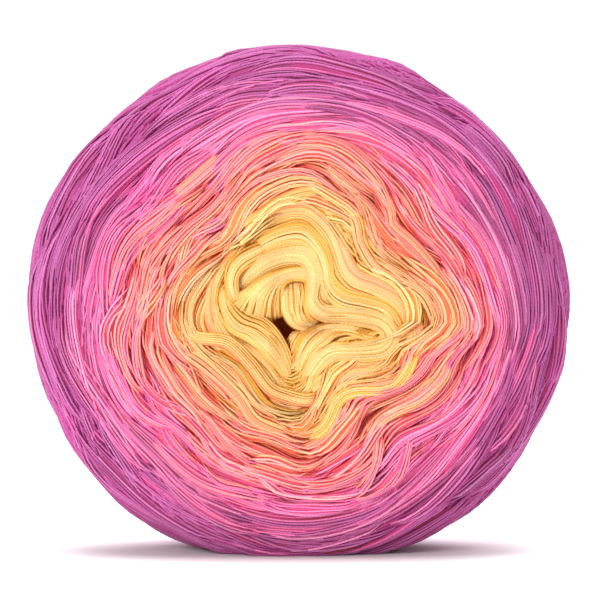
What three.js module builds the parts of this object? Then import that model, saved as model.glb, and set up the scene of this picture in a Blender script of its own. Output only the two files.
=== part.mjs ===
// A yarn cake: one gradient-dyed yarn, wound without a core and standing on its rim, an end face towards -Y.
// Millimetres, +Z up. The origin is on the surface that it stands on, under the middle of the cake.
import * as THREE from "three";

// Driving sizes
const width = 150; // across the end face
const depth = 75; // from one end face to the other, before bands and pillows stand up on them
const centreHeight = 69.4; // the rim is flattened below this by the cake's own weight
const shoulderPower = 3.6; // 2 is an oval section, and higher is squarer
const pitDepth = 25; // how far the closed-up core reads as a pit, from each end face

// The mesh: columns go round the axis, and rows go from the back pit over the rim to the front pit
const columns = 108;
const backRows = 18;
const frontRows = 35;

const halfWidth = width / 2;
const halfDepth = depth / 2;
const radians = Math.PI / 180;

// The outline seen face on: how far the rim reaches from the middle, in mm, at each angle from +X towards +Z.
// The angles are evenly spaced.
const outline = [
  { angle: 0, reach: 75.0 },
  { angle: 20, reach: 72.7 },
  { angle: 40, reach: 71.7 },
  { angle: 60, reach: 70.5 },
  { angle: 80, reach: 70.8 },
  { angle: 100, reach: 71.4 },
  { angle: 120, reach: 71.1 },
  { angle: 140, reach: 71.9 },
  { angle: 160, reach: 73.9 },
  { angle: 180, reach: 75.0 },
  { angle: 200, reach: 73.9 },
  { angle: 220, reach: 74.5 },
  { angle: 240, reach: 74.3 },
  { angle: 260, reach: 72.6 },
  { angle: 280, reach: 73.2 },
  { angle: 300, reach: 74.5 },
  { angle: 320, reach: 75.5 },
  { angle: 340, reach: 75.4 },
];

// The core has closed up into a slit with four arms. These are the angles where turns are pushed out or
// drawn in, at the core and at the rim. arm is 1 on an arm of the slit and 0 on the pillows between the arms.
const stations = [
  { name: "e", atCore: 358, atRim: 358, arm: 1 },
  { name: "ne", atCore: 42, atRim: 45, arm: 0 },
  { name: "n", atCore: 92, atRim: 74, arm: 1 },
  { name: "nw", atCore: 142, atRim: 128, arm: 0 },
  { name: "w", atCore: 174, atRim: 182, arm: 1 },
  { name: "sw", atCore: 225, atRim: 222, arm: 0 },
  { name: "s", atCore: 272, atRim: 274, arm: 1 },
  { name: "se", atCore: 312, atRim: 317, arm: 0 },
  { name: "ese", atCore: 344, atRim: 342, arm: 0.1 },
];

// Each row is one ring of turns: its mean share of the way to the rim, and how far it strays outwards,
// as a share too, at each station
const rings = [
  { share: 0, e: 0, ne: 0, n: 0, nw: 0, w: 0, sw: 0, s: 0, se: 0, ese: 0 },
  { share: 0.11, e: 0.07, ne: -0.01, n: 0.05, nw: 0.04, w: 0, sw: -0.03, s: 0.03, se: -0.04, ese: -0.04 },
  { share: 0.2, e: 0.11, ne: 0, n: 0.085, nw: 0.03, w: -0.02, sw: -0.09, s: 0.01, se: -0.08, ese: -0.08 },
  { share: 0.26, e: 0.11, ne: 0.01, n: 0.13, nw: 0.03, w: -0.01, sw: -0.12, s: 0.01, se: -0.1, ese: -0.09 },
  { share: 0.4, e: 0.12, ne: 0.03, n: 0.09, nw: -0.03, w: 0.03, sw: -0.1, s: -0.005, se: -0.11, ese: 0.01 },
  { share: 0.5, e: 0.09, ne: 0.03, n: 0.12, nw: -0.06, w: -0.015, sw: -0.09, s: 0, se: -0.09, ese: 0 },
  { share: 0.615, e: 0.06, ne: 0.04, n: 0.09, nw: -0.055, w: -0.01, sw: -0.08, s: 0.04, se: -0.06, ese: 0 },
  { share: 0.72, e: 0.05, ne: 0.02, n: 0.04, nw: -0.04, w: -0.01, sw: -0.05, s: 0.01, se: -0.01, ese: 0.03 },
  { share: 0.85, e: 0.01, ne: 0.04, n: 0, nw: 0, w: 0, sw: -0.04, s: 0.03, se: -0.03, ese: -0.02 },
  { share: 1, e: 0, ne: 0, n: 0, nw: 0, w: 0, sw: 0, s: 0, se: 0, ese: 0 },
];
const strayRelief = 16; // mm that turns lie lower for each whole share that they stray outwards

// How far the turns sink below the end face at each share, in mm: everywhere, and again along the slit's arms
const sinking = [
  { share: 0, all: pitDepth, arm: 0 },
  { share: 0.02, all: 0.85 * pitDepth, arm: 0 },
  { share: 0.04, all: 0.4 * pitDepth, arm: 3 },
  { share: 0.06, all: 0.16 * pitDepth, arm: 5 },
  { share: 0.085, all: 1.6, arm: 5 },
  { share: 0.12, all: 0.6, arm: 4 },
  { share: 0.18, all: 0.3, arm: 2.8 },
  { share: 0.27, all: 0.2, arm: 1.4 },
  { share: 0.42, all: 0.1, arm: 0.4 },
  { share: 0.55, all: 0, arm: 0 },
  { share: 1, all: 0, arm: 0 },
];
const armNarrowness = 3.2; // 1 is an arm that fades evenly to the pillows beside it

// Pillows and locks that stand up from the end face, and creases between them, where they show on it.
// across is a share, along is in degrees, and slope is how much share one gains in a degree.
const locks = [
  { share: 0.1, angle: 42, lift: 2.2, across: 0.05, along: 24, slope: 0 },
  { share: 0.15, angle: 118, lift: 2.8, across: 0.07, along: 30, slope: 0 },
  { share: 0.08, angle: 222, lift: 2.6, across: 0.045, along: 26, slope: 0 },
  { share: 0.08, angle: 322, lift: 2.8, across: 0.045, along: 24, slope: 0 },
  { share: 0.2, angle: 158, lift: -2.4, across: 0.04, along: 12, slope: 0.002 },
  { share: 0.2, angle: 48, lift: -1.8, across: 0.03, along: 20, slope: 0.0006 },
  { share: 0.15, angle: 225, lift: -2.4, across: 0.032, along: 26, slope: 0.0004 },
  { share: 0.22, angle: 212, lift: 1.9, across: 0.04, along: 26, slope: -0.0006 },
  { share: 0.34, angle: 56, lift: 1.7, across: 0.045, along: 24, slope: 0.0008 },
  { share: 0.22, angle: 354, lift: -1.2, across: 0.09, along: 7, slope: 0 },
  { share: 0.25, angle: 334, lift: 1.8, across: 0.04, along: 14, slope: 0.001 },
  { share: 0.28, angle: 300, lift: -1.8, across: 0.03, along: 18, slope: -0.0006 },
  { share: 0.44, angle: 106, lift: 1.8, across: 0.045, along: 22, slope: -0.0006 },
  { share: 0.37, angle: 134, lift: -3, across: 0.035, along: 15, slope: -0.0012 },
  { share: 0.45, angle: 22, lift: -1.8, across: 0.03, along: 18, slope: -0.0008 },
  { share: 0.35, angle: 252, lift: -2, across: 0.03, along: 16, slope: 0.0008 },
  { share: 0.46, angle: 188, lift: 1.7, across: 0.045, along: 20, slope: -0.0008 },
  { share: 0.38, angle: 326, lift: 1.9, across: 0.045, along: 18, slope: 0.001 },
  { share: 0.55, angle: 56, lift: -2, across: 0.03, along: 16, slope: 0.001 },
  { share: 0.45, angle: 312, lift: -2.2, across: 0.03, along: 14, slope: 0.0008 },
  { share: 0.44, angle: 226, lift: -2.1, across: 0.03, along: 16, slope: -0.0008 },
  { share: 0.5, angle: 126, lift: -2, across: 0.03, along: 15, slope: -0.001 },
  { share: 0.63, angle: 88, lift: 1.7, across: 0.045, along: 22, slope: -0.0006 },
  { share: 0.58, angle: 268, lift: 1.6, across: 0.045, along: 22, slope: 0.0008 },
  { share: 0.66, angle: 24, lift: 1.5, across: 0.045, along: 24, slope: 0.0006 },
  { share: 0.64, angle: 160, lift: 1.5, across: 0.045, along: 24, slope: -0.0006 },
  { share: 0.68, angle: 318, lift: -1.7, across: 0.03, along: 20, slope: 0.0008 },
  { share: 0.7, angle: 210, lift: -1.6, across: 0.03, along: 20, slope: -0.0008 },
];

// Between them the turns lie in bands that follow the rings, so many from the core to the rim
const twists = { count: 9.5, height: 1.5 };

// On the rim the bands cross, so many round it each way, each as wide as this across it, in mm
const crossings = { count: 9, width: 24, height: 0.9 };

// Bands of the last turns, which come over the shoulder, dip to this share of the way to the rim and go back
const bands = [
  { angle: 6, dip: 0.84, lift: 1.3 },
  { angle: 36, dip: 0.93, lift: -1.1 },
  { angle: 62, dip: 0.9, lift: 1.2 },
  { angle: 84, dip: 0.8, lift: 1 },
  { angle: 112, dip: 0.93, lift: 1.3 },
  { angle: 134, dip: 0.8, lift: 1.1 },
  { angle: 158, dip: 0.95, lift: -1.2 },
  { angle: 183, dip: 0.88, lift: 1.3 },
  { angle: 224, dip: 0.8, lift: 1.2 },
  { angle: 258, dip: 0.88, lift: 1.3 },
  { angle: 286, dip: 0.96, lift: -1.1 },
  { angle: 300, dip: 0.84, lift: 1.1 },
  { angle: 332, dip: 0.95, lift: 1.2 },
];
const bandRise = 0.14; // how far a band has climbed back towards the rim half a span from its lowest point
const bandSpan = 44; // degrees
const bandWidth = 0.055; // as a share

// The back is wound the same way, and its slit has closed up at another angle
const ends = {
  front: { way: -1, slitX: -3.6, slitZ: -6.8, turn: 0, mirrored: false, strength: 1 },
  back: { way: 1, slitX: 3, slitZ: -4, turn: 214, mirrored: true, strength: 0.85 },
};

const smooth = (t) => t * t * (3 - 2 * t);
const bell = (x) => Math.exp(-x * x);
const ridge = (x) => Math.abs(Math.sin(Math.PI * x)); // rounded bands with a crease at each whole number
const clamp01 = (x) => Math.min(1, Math.max(0, x));
const wrap = (degrees) => ((degrees % 360) + 360) % 360;
const between = (from, to) => wrap(to - from + 180) - 180;

// One column of a table at a share between its rows
function column(table, name, share) {
  const next = Math.max(1, table.findIndex((row) => row.share >= share));
  const [low, high] = [table[next - 1], table[next]];
  const t = (share - low.share) / (high.share - low.share);
  return low[name] + (high[name] - low[name]) * t;
}

// The outline's reach at an angle, as a share of half the width, on a smooth curve through the rows
function reach(angle) {
  const place = (wrap(angle) * outline.length) / 360;
  const row = Math.floor(place);
  const t = place - row;
  const at = (step) => outline[(row + step + outline.length) % outline.length].reach;
  const [a, b, c, d] = [at(-1), at(0), at(1), at(2)];
  const bend = 2 * a - 5 * b + 4 * c - d + t * (3 * (b - c) + d - a);
  return (b + 0.5 * t * (c - a + t * bend)) / halfWidth;
}

// The two stations on either side of an angle, and how far it has come from the first to the second
function neighbours(share, angle) {
  const at = stations.map((s) => s.atCore + between(s.atCore, s.atRim) * share);
  const first = at.findIndex((from, i) => {
    const step = wrap(at[(i + 1) % at.length] - from);
    return wrap(angle - from) < step;
  });
  const second = (first + 1) % stations.length;
  const t = smooth(wrap(angle - at[first]) / wrap(at[second] - at[first]));
  return { first: stations[first], second: stations[second], t };
}

// The section of the cake: superellipse points against their distance from the axis along the surface
const sectionSteps = 400;
const section = [{ along: 0, share: 0, out: halfDepth }];
for (let i = 1; i <= sectionSteps; i++) {
  const turn = ((i / sectionSteps) * Math.PI) / 2;
  const share = Math.sin(turn) ** (2 / shoulderPower);
  const out = halfDepth * Math.cos(turn) ** (2 / shoulderPower);
  const last = section[i - 1];
  const step = Math.hypot((share - last.share) * halfWidth, out - last.out);
  section.push({ along: last.along + step, share, out });
}
const sectionLength = section[sectionSteps].along;

// The section's share and its distance out from the middle plane, at a part of the way from axis to rim
function sectionAt(part) {
  const along = part * sectionLength;
  const next = Math.max(1, section.findIndex((p) => p.along >= along));
  const [low, high] = [section[next - 1], section[next]];
  const t = (along - low.along) / (high.along - low.along);
  return { share: low.share + (high.share - low.share) * t, out: low.out + (high.out - low.out) * t };
}

const faceOut = (share) => halfDepth * (1 - Math.min(share, 1) ** shoulderPower) ** (1 / shoulderPower);

// What the locks, the last turns and the bands of turns add to the surface, in mm
function relief(part, share, turns, angle) {
  let lift = 0;
  for (const lock of locks) {
    const aside = share - lock.share - lock.slope * between(lock.angle, angle);
    lift += lock.lift * bell(aside / lock.across) * bell(between(lock.angle, angle) / lock.along);
  }
  for (const band of bands) {
    const turn = between(band.angle, angle) / bandSpan;
    const path = band.dip + bandRise * turn * turn;
    lift += band.lift * bell((turns - path) / bandWidth) * bell(turn / 1.6);
  }
  const band = ridge(twists.count * turns + angle / 360);
  const shown = smooth(clamp01((share - 0.12) / 0.15)) * smooth(clamp01((1 - part) / 0.25));
  return lift + twists.height * band * shown;
}

// What the crossing bands add to the rim, in mm, at an angle and a distance from the middle plane
function rimRelief(angle, y) {
  const round = (crossings.count * angle) / 360;
  const across = y / crossings.width;
  return crossings.height * (Math.max(ridge(round + across), ridge(round - across)) - 1);
}

// One point of the surface. part runs from 0 at the bottom of the pit to 1 on the middle of the rim.
function surface(end, part, angle) {
  const base = sectionAt(part);
  const own = wrap(end.mirrored ? end.turn - angle : end.turn + angle);
  const { first, second, t } = neighbours(base.share, own);
  const strayFirst = column(rings, first.name, base.share);
  const straySecond = column(rings, second.name, base.share);
  const stray = (strayFirst + (straySecond - strayFirst) * t) * end.strength;
  const arm = (first.arm + (second.arm - first.arm) * t) ** armNarrowness * end.strength;
  const sunk = column(sinking, "all", base.share) + column(sinking, "arm", base.share) * arm;
  const share = base.share + stray;
  const turns = (part * sectionLength) / halfWidth;
  const lift = relief(part, share, turns, own) * end.strength - strayRelief * stray;
  const towardsRim = smooth(clamp01((base.share - 0.75) / 0.25));
  const out = base.out + faceOut(share) - faceOut(base.share) - sunk + lift * (1 - towardsRim);
  const rimLift = lift * smooth(clamp01(base.out / 20)) + rimRelief(angle, end.way * base.out);
  const radius = share * halfWidth * reach(angle) + rimLift * towardsRim;
  const x = end.slitX * (1 - share) + radius * Math.cos(angle * radians);
  const z = end.slitZ * (1 - share) + radius * Math.sin(angle * radians);
  return new THREE.Vector3(x, end.way * out, Math.max(0, z + centreHeight));
}

// Rows stand closer together near the pit and over the shoulder
const rowPart = (t) => 0.62 * t + 0.38 * t * t;

// The surface at a row, from 0 at the bottom of the back pit, and a column. Neither has to be whole.
function gridPoint(row, column) {
  const rows = backRows + frontRows;
  const onBack = row <= backRows;
  const t = onBack ? row / backRows : (rows - row) / frontRows;
  return surface(onBack ? ends.back : ends.front, rowPart(t), t === 0 ? 0 : (column * 360) / columns);
}

// A grid of points closed round the axis, with a fan at the bottom of each pit. Each four-sided patch is
// split along the diagonal that lies closer to the surface, so the creases stay clean. The whole is then
// moved so that its box is centred over the origin.
function woundBody() {
  const rows = backRows + frontRows;
  const points = [gridPoint(0, 0)];
  for (let row = 1; row < rows; row++) {
    for (let column = 0; column < columns; column++) points.push(gridPoint(row, column));
  }
  const last = points.push(gridPoint(rows, 0)) - 1;
  const at = (row, column) => 1 + (row - 1) * columns + (column % columns);
  const faces = [];
  for (let column = 0; column < columns; column++) {
    faces.push(0, at(1, column + 1), at(1, column));
    for (let row = 1; row < rows - 1; row++) {
      const [a, b] = [at(row, column), at(row, column + 1)];
      const [c, d] = [at(row + 1, column), at(row + 1, column + 1)];
      const middle = gridPoint(row + 0.5, column + 0.5);
      const alongAD = points[a].clone().lerp(points[d], 0.5).distanceTo(middle);
      const alongBC = points[b].clone().lerp(points[c], 0.5).distanceTo(middle);
      if (alongAD < alongBC) faces.push(a, b, d, a, d, c);
      else faces.push(a, b, c, b, d, c);
    }
    faces.push(last, at(rows - 1, column), at(rows - 1, column + 1));
  }
  const geometry = new THREE.BufferGeometry().setFromPoints(points);
  geometry.setIndex(faces);
  const middle = new THREE.Box3().setFromPoints(points).getCenter(new THREE.Vector3());
  geometry.translate(-middle.x, -middle.y, 0);
  geometry.computeVertexNormals();
  return geometry;
}

const yarn = new THREE.MeshStandardMaterial({ color: 0xe0679f, roughness: 0.85, metalness: 0 });

const woundYarn = new THREE.Mesh(woundBody(), yarn);
woundYarn.name = "wound_yarn";

const cake = new THREE.Group();
cake.add(woundYarn);

export default cake;
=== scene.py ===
import math
import bpy
import numpy as np
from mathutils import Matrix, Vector


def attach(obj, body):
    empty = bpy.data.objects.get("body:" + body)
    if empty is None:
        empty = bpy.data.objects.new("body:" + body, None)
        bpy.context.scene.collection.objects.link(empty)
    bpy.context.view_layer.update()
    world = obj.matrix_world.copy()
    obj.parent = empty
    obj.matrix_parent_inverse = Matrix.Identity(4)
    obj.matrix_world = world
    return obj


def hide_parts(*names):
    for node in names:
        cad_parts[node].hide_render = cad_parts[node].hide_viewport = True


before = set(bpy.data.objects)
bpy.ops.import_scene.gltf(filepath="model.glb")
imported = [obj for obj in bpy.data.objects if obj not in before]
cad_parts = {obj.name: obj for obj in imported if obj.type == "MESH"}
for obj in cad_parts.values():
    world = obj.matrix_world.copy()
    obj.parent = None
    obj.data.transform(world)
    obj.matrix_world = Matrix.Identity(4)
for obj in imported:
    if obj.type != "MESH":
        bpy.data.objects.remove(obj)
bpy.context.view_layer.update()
mm = 0.001
rng = np.random.default_rng(27)


def linearFrom(hexText):
    channels = [int(hexText[i:i + 2], 16) / 255 for i in (1, 3, 5)]
    return tuple(c / 12.92 if c <= 0.04045 else ((c + 0.055) / 1.055) ** 2.4 for c in channels)


def smooth(t):
    t = np.clip(t, 0.0, 1.0)
    return t * t * (3 - 2 * t)


def bell(x):
    return np.exp(-x * x)


def ridge(x):
    return np.abs(np.sin(np.pi * x))


def between(start, end):
    return (end - start + 180.0) % 360.0 - 180.0


def unit(vectors):
    return vectors / np.maximum(np.linalg.norm(vectors, axis=-1, keepdims=True), 1e-9)


def columnAt(rows, name, share):
    return np.interp(share, [r["share"] for r in rows], [r[name] for r in rows])


# The wound form, in mm, with the same sizes and tables as the solid
cake = {
    "width": 150.0, "depth": 75.0, "centreHeight": 69.4, "shoulderPower": 3.6, "pitDepth": 25.0,
    "strayRelief": 16.0, "armNarrowness": 3.2,
    "twistCount": 9.5, "twistHeight": 1.5,
    "crossingCount": 9, "crossingWidth": 24.0, "crossingHeight": 0.9,
    "bandRise": 0.14, "bandSpan": 44.0, "bandWidth": 0.055, "bandFade": 1.6,
    "twistFrom": 0.12, "twistGrows": 0.15, "rimFade": 0.25,
    "rimFrom": 0.75, "rimGrows": 0.25, "rimLiftDepth": 20.0,
}
halfWidth = cake["width"] / 2
halfDepth = cake["depth"] / 2

# how far the rim reaches from the middle, every 20 degrees from +X towards +Z
outline = np.array([75.0, 72.7, 71.7, 70.5, 70.8, 71.4, 71.1, 71.9, 73.9,
                    75.0, 73.9, 74.5, 74.3, 72.6, 73.2, 74.5, 75.5, 75.4])

stationNames = ["e", "ne", "n", "nw", "w", "sw", "s", "se", "ese"]
stationAtCore = np.array([358.0, 42, 92, 142, 174, 225, 272, 312, 344])
stationAtRim = np.array([358.0, 45, 74, 128, 182, 222, 274, 317, 342])
stationArm = np.array([1, 0, 1, 0, 1, 0, 1, 0, 0.1])


def ring(share, *strays):
    return {"share": share, **dict(zip(stationNames, strays))}


#         share   e     ne     n     nw     w      sw     s      se     ese
rings = [
    ring(0.0, 0, 0, 0, 0, 0, 0, 0, 0, 0),
    ring(0.11, 0.07, -0.01, 0.05, 0.04, 0, -0.03, 0.03, -0.04, -0.04),
    ring(0.2, 0.11, 0, 0.085, 0.03, -0.02, -0.09, 0.01, -0.08, -0.08),
    ring(0.26, 0.11, 0.01, 0.13, 0.03, -0.01, -0.12, 0.01, -0.1, -0.09),
    ring(0.4, 0.12, 0.03, 0.09, -0.03, 0.03, -0.1, -0.005, -0.11, 0.01),
    ring(0.5, 0.09, 0.03, 0.12, -0.06, -0.015, -0.09, 0, -0.09, 0),
    ring(0.615, 0.06, 0.04, 0.09, -0.055, -0.01, -0.08, 0.04, -0.06, 0),
    ring(0.72, 0.05, 0.02, 0.04, -0.04, -0.01, -0.05, 0.01, -0.01, 0.03),
    ring(0.85, 0.01, 0.04, 0, 0, 0, -0.04, 0.03, -0.03, -0.02),
    ring(1.0, 0, 0, 0, 0, 0, 0, 0, 0, 0),
]

sinking = [
    {"share": 0.0, "all": 25.0, "arm": 0}, {"share": 0.02, "all": 21.25, "arm": 0},
    {"share": 0.04, "all": 10.0, "arm": 3}, {"share": 0.06, "all": 4.0, "arm": 5},
    {"share": 0.085, "all": 1.6, "arm": 5}, {"share": 0.12, "all": 0.6, "arm": 4},
    {"share": 0.18, "all": 0.3, "arm": 2.8}, {"share": 0.27, "all": 0.2, "arm": 1.4},
    {"share": 0.42, "all": 0.1, "arm": 0.4}, {"share": 0.55, "all": 0, "arm": 0},
    {"share": 1.0, "all": 0, "arm": 0},
]

# share, angle, lift in mm, width across as a share, width along in degrees, share gained in a degree
locksOfForm = [
    (0.1, 42, 2.2, 0.05, 24, 0), (0.15, 118, 2.8, 0.07, 30, 0), (0.08, 222, 2.6, 0.045, 26, 0),
    (0.08, 322, 2.8, 0.045, 24, 0), (0.2, 158, -2.4, 0.04, 12, 0.002), (0.2, 48, -1.8, 0.03, 20, 0.0006),
    (0.15, 225, -2.4, 0.032, 26, 0.0004), (0.22, 212, 1.9, 0.04, 26, -0.0006),
    (0.34, 56, 1.7, 0.045, 24, 0.0008), (0.22, 354, -1.2, 0.09, 7, 0), (0.25, 334, 1.8, 0.04, 14, 0.001),
    (0.28, 300, -1.8, 0.03, 18, -0.0006), (0.44, 106, 1.8, 0.045, 22, -0.0006),
    (0.37, 134, -3, 0.035, 15, -0.0012), (0.45, 22, -1.8, 0.03, 18, -0.0008),
    (0.35, 252, -2, 0.03, 16, 0.0008), (0.46, 188, 1.7, 0.045, 20, -0.0008),
    (0.38, 326, 1.9, 0.045, 18, 0.001), (0.55, 56, -2, 0.03, 16, 0.001),
    (0.45, 312, -2.2, 0.03, 14, 0.0008), (0.44, 226, -2.1, 0.03, 16, -0.0008),
    (0.5, 126, -2, 0.03, 15, -0.001), (0.63, 88, 1.7, 0.045, 22, -0.0006),
    (0.58, 268, 1.6, 0.045, 22, 0.0008), (0.66, 24, 1.5, 0.045, 24, 0.0006),
    (0.64, 160, 1.5, 0.045, 24, -0.0006), (0.68, 318, -1.7, 0.03, 20, 0.0008),
    (0.7, 210, -1.6, 0.03, 20, -0.0008),
]

# angle, share where the band dips lowest onto the end face, lift in mm
bandsOfForm = [(6, 0.84, 1.3), (36, 0.93, -1.1), (62, 0.9, 1.2), (84, 0.8, 1), (112, 0.93, 1.3),
               (134, 0.8, 1.1), (158, 0.95, -1.2), (183, 0.88, 1.3), (224, 0.8, 1.2), (258, 0.88, 1.3),
               (286, 0.96, -1.1), (300, 0.84, 1.1), (332, 0.95, 1.2)]

ends = {
    "front": {"way": -1, "slitX": -3.6, "slitZ": -6.8, "turn": 0.0, "mirrored": False, "strength": 1.0},
    "back": {"way": 1, "slitX": 3.0, "slitZ": -4.0, "turn": 214.0, "mirrored": True, "strength": 0.85},
}


def reach(angle):
    place = (angle % 360.0) * len(outline) / 360.0
    row = np.floor(place).astype(int)
    t = place - row
    a, b, c, d = (outline[(row + step) % len(outline)] for step in (-1, 0, 1, 2))
    bend = 2 * a - 5 * b + 4 * c - d + t * (3 * (b - c) + d - a)
    return (b + 0.5 * t * (c - a + t * bend)) / halfWidth


# the section, from the middle of an end face over the shoulder to the middle of the rim
sectionPoints = 1601
turn = np.linspace(0, math.pi / 2, sectionPoints)
sectionShare = np.sin(turn) ** (2 / cake["shoulderPower"])
sectionOut = halfDepth * np.clip(np.cos(turn), 0, 1) ** (2 / cake["shoulderPower"])
steps = np.hypot(np.diff(sectionShare) * halfWidth, np.diff(sectionOut))
sectionAlong = np.concatenate([[0.0], np.cumsum(steps)])
sectionLength = sectionAlong[-1]
rimTurns = sectionLength / halfWidth  # the rim's middle, in half widths along the section


def faceOut(share):
    power = cake["shoulderPower"]
    return halfDepth * (1 - np.minimum(share, 1.0) ** power) ** (1 / power)


def straysAndArms(share, angle):
    at = stationAtCore[:, None] + between(stationAtCore, stationAtRim)[:, None] * share[None, :]
    columns = np.array([columnAt(rings, name, share) for name in stationNames])
    stray, arm = np.zeros_like(share), np.zeros_like(share)
    count = len(stationNames)
    for i in range(count):
        j = (i + 1) % count
        step = (at[j] - at[i]) % 360.0
        past = (angle - at[i]) % 360.0
        inside = past < step
        t = smooth(past / step)
        stray = np.where(inside, columns[i] + (columns[j] - columns[i]) * t, stray)
        arm = np.where(inside, stationArm[i] + (stationArm[j] - stationArm[i]) * t, arm)
    return stray, arm


def reliefAt(part, share, turns, angle):
    lift = np.zeros_like(share)
    for lockShare, lockAngle, height, across, along, slope in locksOfForm:
        off = between(lockAngle, angle)
        lift += height * bell((share - lockShare - slope * off) / across) * bell(off / along)
    for bandAngle, dip, height in bandsOfForm:
        off = between(bandAngle, angle) / cake["bandSpan"]
        path = dip + cake["bandRise"] * off * off
        lift += height * bell((turns - path) / cake["bandWidth"]) * bell(off / cake["bandFade"])
    shown = smooth((share - cake["twistFrom"]) / cake["twistGrows"]) * smooth((1 - part) / cake["rimFade"])
    return lift + cake["twistHeight"] * ridge(cake["twistCount"] * turns + angle / 360.0) * shown


def surfaceOf(end, turns, angle, deepest=cake["pitDepth"]):
    part = turns / rimTurns
    along = turns * halfWidth
    baseShare = np.interp(along, sectionAlong, sectionShare)
    baseOut = np.interp(along, sectionAlong, sectionOut)
    own = (end["turn"] - angle if end["mirrored"] else end["turn"] + angle) % 360.0
    stray, arm = straysAndArms(baseShare, own)
    stray = stray * end["strength"]
    arm = arm ** cake["armNarrowness"] * end["strength"]
    sunk = columnAt(sinking, "all", baseShare) + columnAt(sinking, "arm", baseShare) * arm
    sunk = np.minimum(sunk, deepest)
    share = baseShare + stray
    lift = reliefAt(part, share, turns, own) * end["strength"] - cake["strayRelief"] * stray
    towardsRim = smooth((baseShare - cake["rimFrom"]) / cake["rimGrows"])
    out = baseOut + faceOut(share) - faceOut(baseShare) - sunk + lift * (1 - towardsRim)
    around = cake["crossingCount"] * angle / 360.0
    across = end["way"] * baseOut / cake["crossingWidth"]
    crossing = cake["crossingHeight"] * (np.maximum(ridge(around + across), ridge(around - across)) - 1)
    rimLift = lift * smooth(baseOut / cake["rimLiftDepth"]) + crossing
    radius = share * halfWidth * reach(angle) + rimLift * towardsRim
    x = end["slitX"] * (1 - share) + radius * np.cos(np.radians(angle))
    z = end["slitZ"] * (1 - share) + radius * np.sin(np.radians(angle))
    return np.stack([x, end["way"] * out, z + cake["centreHeight"]], axis=-1)


# the surface as a fine grid. Level 0 is the front pit's bottom, rimTurns the middle of the rim, and
# twice rimTurns the back pit's bottom.
gridLevels, gridAngles = 1101, 1440
levelsOfGrid = np.linspace(0, 2 * rimTurns, gridLevels)
anglesOfGrid = np.arange(gridAngles) * 360.0 / gridAngles
grid = np.zeros((gridLevels, gridAngles, 3))
for row, level in enumerate(levelsOfGrid):
    side = ends["front"] if level <= rimTurns else ends["back"]
    turns = np.full(gridAngles, level if level <= rimTurns else 2 * rimTurns - level)
    grid[row] = surfaceOf(side, turns, anglesOfGrid)
middle = (grid.reshape(-1, 3).min(axis=0) + grid.reshape(-1, 3).max(axis=0)) / 2
grid[..., 0] -= middle[0]
grid[..., 1] -= middle[1]
alongAngle = np.roll(grid, -1, axis=1) - np.roll(grid, 1, axis=1)
alongLevel = np.gradient(grid, axis=0)
gridNormal = unit(np.cross(alongAngle, alongLevel))
if (gridNormal[gridLevels // 4, :, 1]).mean() > 0:
    gridNormal = -gridNormal
# what is laid on the surface rises off it along directions that change slowly, so strands don't bunch
farthest = 18  # cells of the grid
normalSpread = range(-farthest, farthest + 1, 3)
gridNormal = sum(np.roll(gridNormal, step, axis=1) for step in normalSpread)
padded = np.pad(gridNormal, ((farthest, farthest), (0, 0), (0, 0)), mode="edge")
gridNormal = unit(sum(padded[farthest + step:farthest + step + gridLevels] for step in normalSpread))
mmPerLevel = np.linalg.norm(alongLevel, axis=-1) / (levelsOfGrid[1] - levelsOfGrid[0])
print("form: grid ready, size in mm", np.ptp(grid.reshape(-1, 3), axis=0).round(2))


def sample(field, level, angle):
    row = np.clip(level / levelsOfGrid[-1], 0, 1) * (gridLevels - 1)
    column = (angle % 360.0) / 360.0 * gridAngles
    r0 = np.minimum(row.astype(int), gridLevels - 2)
    c0 = column.astype(int) % gridAngles
    c1 = (c0 + 1) % gridAngles
    fr, fc = row - r0, column - np.floor(column)
    if field.ndim == 3:
        fr, fc = fr[..., None], fc[..., None]
    low = field[r0, c0] * (1 - fc) + field[r0, c1] * fc
    high = field[r0 + 1, c0] * (1 - fc) + field[r0 + 1, c1] * fc
    return low * (1 - fr) + high * fr


# A lid over the front pit and its arms, as heights (y) over x and z. The drawn locks lie on it.
lid = {"deepest": 3.0, "cell": 0.5, "halfSpan": 46.0, "soften": 3, "toLevel": 0.75, "levels": 420}
lidCells = int(2 * lid["halfSpan"] / lid["cell"]) + 1


def softened(field, times):
    for _ in range(times):
        wide = np.pad(field, 1, mode="edge")
        field = sum(wide[i:i + field.shape[0], j:j + field.shape[1]] for i in range(3) for j in range(3)) / 9
    return field


def makeLid():
    total, count = np.zeros((lidCells, lidCells)), np.zeros((lidCells, lidCells))
    for level in np.linspace(0, lid["toLevel"], lid["levels"]):
        points = surfaceOf(ends["front"], np.full(gridAngles, level), anglesOfGrid, lid["deepest"])
        points[:, :2] -= middle[:2]
        i = np.round((points[:, 0] + lid["halfSpan"]) / lid["cell"]).astype(int)
        j = np.round((points[:, 2] - cake["centreHeight"] + lid["halfSpan"]) / lid["cell"]).astype(int)
        inside = (i >= 0) & (i < lidCells) & (j >= 0) & (j < lidCells)
        np.add.at(total, (i[inside], j[inside]), points[inside, 1])
        np.add.at(count, (i[inside], j[inside]), 1)
    return softened(total / np.maximum(count, 1), lid["soften"])


lidHeights = makeLid()
print("lid: heights from", lidHeights.min().round(2), "to", lidHeights.max().round(2))


def lidAt(x, z):
    lastCell = lidCells - 1.001  # just inside, so that it has a neighbour
    u = np.clip((x + lid["halfSpan"]) / lid["cell"], 0, lastCell)
    v = np.clip((z + lid["halfSpan"]) / lid["cell"], 0, lastCell)
    i, j = u.astype(int), v.astype(int)
    fu, fv = u - i, v - j
    near = lidHeights[i, j] * (1 - fu) + lidHeights[i + 1, j] * fu
    far = lidHeights[i, j + 1] * (1 - fu) + lidHeights[i + 1, j + 1] * fu
    return near * (1 - fv) + far * fv


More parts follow.
